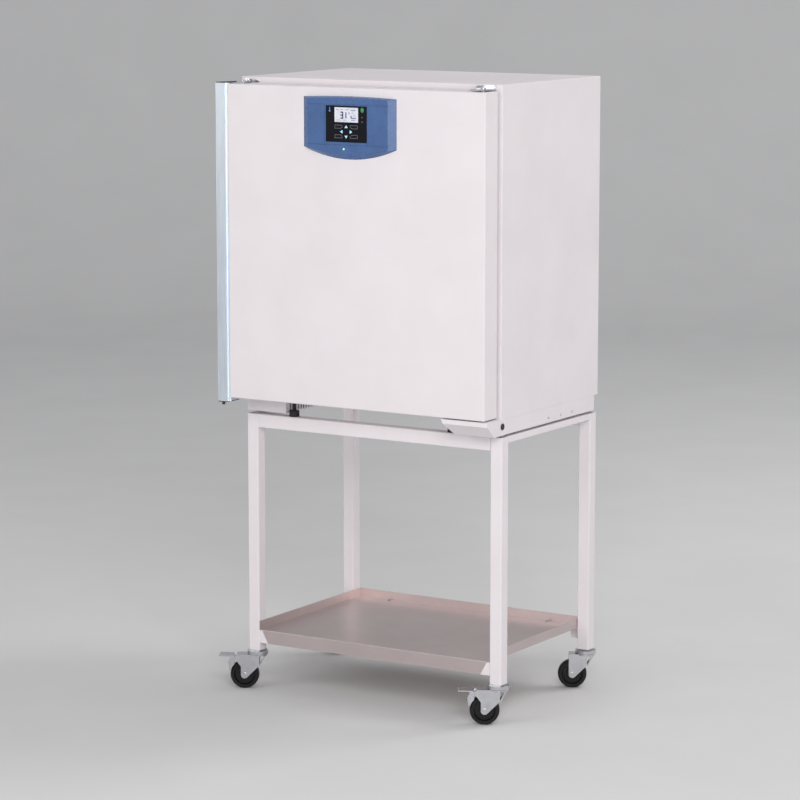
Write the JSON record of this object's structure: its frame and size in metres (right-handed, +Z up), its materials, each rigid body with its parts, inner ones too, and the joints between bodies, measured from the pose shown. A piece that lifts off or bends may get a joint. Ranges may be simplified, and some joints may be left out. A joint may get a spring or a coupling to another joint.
{
  "type": "laboratory incubator on a mobile stand",
  "caption": "Laboratory incubator with a solid outer door, an inner glass door and a blue control panel, on a tube stand with a tray and swivel casters.",
  "frame": {"origin": "on the floor, midway between the stand's legs in X and in Y", "axes": "+X towards the hinge side of the door, +Y from the door to the back, +Z up"},
  "size_m": [0.8452, 0.634, 1.585],
  "materials": {
    "painted_white": "satin",
    "stainless": "brushed",
    "zinc": "zinc plated",
    "tray_metal": "satin",
    "anodised": "anodised",
    "black_plastic": "matte",
    "blue_plastic": "satin",
    "black_gloss": "gloss",
    "screen": "gloss",
    "green_light": "lit",
    "circuit_board": "satin",
    "mineral_wool": "fibrous",
    "silicone": "matte",
    "black_rubber": "matte",
    "clear_glass": "clear",
    "green_plastic": "satin",
    "wheel_black": "satin",
    "grey_plastic": "satin",
    "white_plastic": "satin"
  },
  "bodies": {
    "cabinet": {"outer_casing": "painted_white", "base_pan": "painted_white", "rear_panel": "painted_white", "plinth_beams": "painted_white", "lower_hinge_bracket": "painted_white", "upper_hinge_bracket": "zinc", "stand_legs": "painted_white", "stand_rails": "painted_white", "tray_lugs": "painted_white", "rear_cover": "painted_white", "chamber_liner": "stainless", "shelf_racks": "stainless", "wire_shelves": "stainless", "temperature_probe": "stainless", "flue_tube": "stainless", "latch_striker": "zinc", "hinge_pins": "zinc", "panel_screws": "zinc", "stand_tray": "tray_metal", "chamber_insulation": "mineral_wool", "heating_mats": "silicone", "levelling_feet": "black_rubber", "bracket_plug": "black_plastic", "mains_inlet": "black_plastic", "caster_sockets": "zinc"},
    "outer_door": {"door_panel": "painted_white", "door_liner": "stainless", "door_insulation": "mineral_wool", "door_gasket": "silicone", "handle_hinge_strip": "black_plastic", "control_bezel": "blue_plastic", "keypad_panel": "black_gloss", "lcd_screen": "screen", "status_led": "green_light", "control_board": "circuit_board"},
    "handle": {"handle_bar": "anodised", "handle_end_caps": "black_plastic"},
    "latch": {"latch_hook": "zinc"},
    "glass": {"glass_door": "clear_glass", "glass_door_hinges": "stainless", "glass_door_knob": "black_plastic"},
    "caster_front_left": {"caster_fork_front_left": "zinc"},
    "wheel_front_left": {"caster_wheel_front_left": "wheel_black"},
    "brake_front_left": {"brake_pedal_front_left": "zinc"},
    "caster_front_right": {"caster_fork_front_right": "zinc"},
    "wheel_front_right": {"caster_wheel_front_right": "wheel_black"},
    "brake_front_right": {"brake_pedal_front_right": "zinc"},
    "caster_rear_left": {"caster_fork_rear_left": "zinc"},
    "wheel_rear_left": {"caster_wheel_rear_left": "wheel_black"},
    "caster_rear_right": {"caster_fork_rear_right": "zinc"},
    "wheel_rear_right": {"caster_wheel_rear_right": "wheel_black"},
    "power_button_body": {"power_button": "green_plastic"},
    "soft_key_upper_left_body": {"soft_key_upper_left": "grey_plastic"},
    "soft_key_upper_right_body": {"soft_key_upper_right": "grey_plastic"},
    "soft_key_lower_left_body": {"soft_key_lower_left": "grey_plastic"},
    "soft_key_lower_right_body": {"soft_key_lower_right": "grey_plastic"},
    "arrow_up_key_body": {"arrow_up_key": "white_plastic"},
    "arrow_down_key_body": {"arrow_down_key": "white_plastic"},
    "arrow_left_key_body": {"arrow_left_key": "white_plastic"},
    "arrow_right_key_body": {"arrow_right_key": "white_plastic"}
  },
  "joints": [
    {"name": "outer_door_hinge", "type": "hinge", "parent": "cabinet", "child": "outer_door", "pos_m": [0.353, -0.299, 1.17], "axis": [0, 0, 1], "range_deg": [0, 180]},
    {"name": "glass_door_hinge", "type": "hinge", "parent": "cabinet", "child": "glass", "pos_m": [0.262, -0.2465, 1.178], "axis": [0, 0, 1], "range_deg": [0, 117]},
    {"name": "handle_pivot", "type": "hinge", "parent": "outer_door", "child": "handle", "pos_m": [-0.382, -0.3105, 1.17], "axis": [0, 0, 1], "range_deg": [0, 15], "stiffness_Nm_per_rad": 3},
    {"name": "latch_pivot", "type": "hinge", "parent": "outer_door", "child": "latch", "pos_m": [-0.3565, -0.283, 1.573], "axis": [0, 0, 1], "range_deg": [-15, 0]},
    {"name": "swivel_front_left", "type": "hinge", "parent": "cabinet", "child": "caster_front_left", "pos_m": [-0.3605, -0.226, 0.0895], "axis": [0, 0, 1], "continuous": true},
    {"name": "roll_front_left", "type": "hinge", "parent": "caster_front_left", "child": "wheel_front_left", "pos_m": [-0.38994, -0.243, 0.0375], "axis": [-0.5, 0.866, 0], "continuous": true},
    {"name": "brake_front_left", "type": "hinge", "parent": "caster_front_left", "child": "brake_front_left", "pos_m": [-0.4038, -0.251, 0.079], "axis": [-0.5, 0.866, 0], "range_deg": [0, 15]},
    {"name": "swivel_front_right", "type": "hinge", "parent": "cabinet", "child": "caster_front_right", "pos_m": [0.3605, -0.226, 0.0895], "axis": [0, 0, 1], "continuous": true},
    {"name": "roll_front_right", "type": "hinge", "parent": "caster_front_right", "child": "wheel_front_right", "pos_m": [0.33105, -0.243, 0.0375], "axis": [-0.5, 0.866, 0], "continuous": true},
    {"name": "brake_front_right", "type": "hinge", "parent": "caster_front_right", "child": "brake_front_right", "pos_m": [0.3172, -0.251, 0.079], "axis": [-0.5, 0.866, 0], "range_deg": [0, 15]},
    {"name": "swivel_rear_left", "type": "hinge", "parent": "cabinet", "child": "caster_rear_left", "pos_m": [-0.3605, 0.226, 0.0895], "axis": [0, 0, 1], "continuous": true},
    {"name": "roll_rear_left", "type": "hinge", "parent": "caster_rear_left", "child": "wheel_rear_left", "pos_m": [-0.38994, 0.209, 0.0375], "axis": [-0.5, 0.866, 0], "continuous": true},
    {"name": "swivel_rear_right", "type": "hinge", "parent": "cabinet", "child": "caster_rear_right", "pos_m": [0.3605, 0.226, 0.0895], "axis": [0, 0, 1], "continuous": true},
    {"name": "roll_rear_right", "type": "hinge", "parent": "caster_rear_right", "child": "wheel_rear_right", "pos_m": [0.33105, 0.209, 0.0375], "axis": [-0.5, 0.866, 0], "continuous": true},
    {"name": "power_button_press", "type": "slide", "parent": "outer_door", "child": "power_button_body", "axis": [0, 1, 0], "range_m": [0, 0.0005], "stiffness_N_per_m": 800},
    {"name": "soft_key_upper_left_press", "type": "slide", "parent": "outer_door", "child": "soft_key_upper_left_body", "axis": [0, 1, 0], "range_m": [0, 0.0005], "stiffness_N_per_m": 800},
    {"name": "soft_key_upper_right_press", "type": "slide", "parent": "outer_door", "child": "soft_key_upper_right_body", "axis": [0, 1, 0], "range_m": [0, 0.0005], "stiffness_N_per_m": 800},
    {"name": "soft_key_lower_left_press", "type": "slide", "parent": "outer_door", "child": "soft_key_lower_left_body", "axis": [0, 1, 0], "range_m": [0, 0.0005], "stiffness_N_per_m": 800},
    {"name": "soft_key_lower_right_press", "type": "slide", "parent": "outer_door", "child": "soft_key_lower_right_body", "axis": [0, 1, 0], "range_m": [0, 0.0005], "stiffness_N_per_m": 800},
    {"name": "arrow_up_key_press", "type": "slide", "parent": "outer_door", "child": "arrow_up_key_body", "axis": [0, 1, 0], "range_m": [0, 0.0005], "stiffness_N_per_m": 800},
    {"name": "arrow_down_key_press", "type": "slide", "parent": "outer_door", "child": "arrow_down_key_body", "axis": [0, 1, 0], "range_m": [0, 0.0005], "stiffness_N_per_m": 800},
    {"name": "arrow_left_key_press", "type": "slide", "parent": "outer_door", "child": "arrow_left_key_body", "axis": [0, 1, 0], "range_m": [0, 0.0005], "stiffness_N_per_m": 800},
    {"name": "arrow_right_key_press", "type": "slide", "parent": "outer_door", "child": "arrow_right_key_body", "axis": [0, 1, 0], "range_m": [0, 0.0005], "stiffness_N_per_m": 800}
  ],
  "couplings": [
    {"joint": "glass_door_hinge", "follows": "outer_door_hinge", "ratio": 0.65},
    {"joint": "latch_pivot", "follows": "handle_pivot", "ratio": -1}
  ]
}
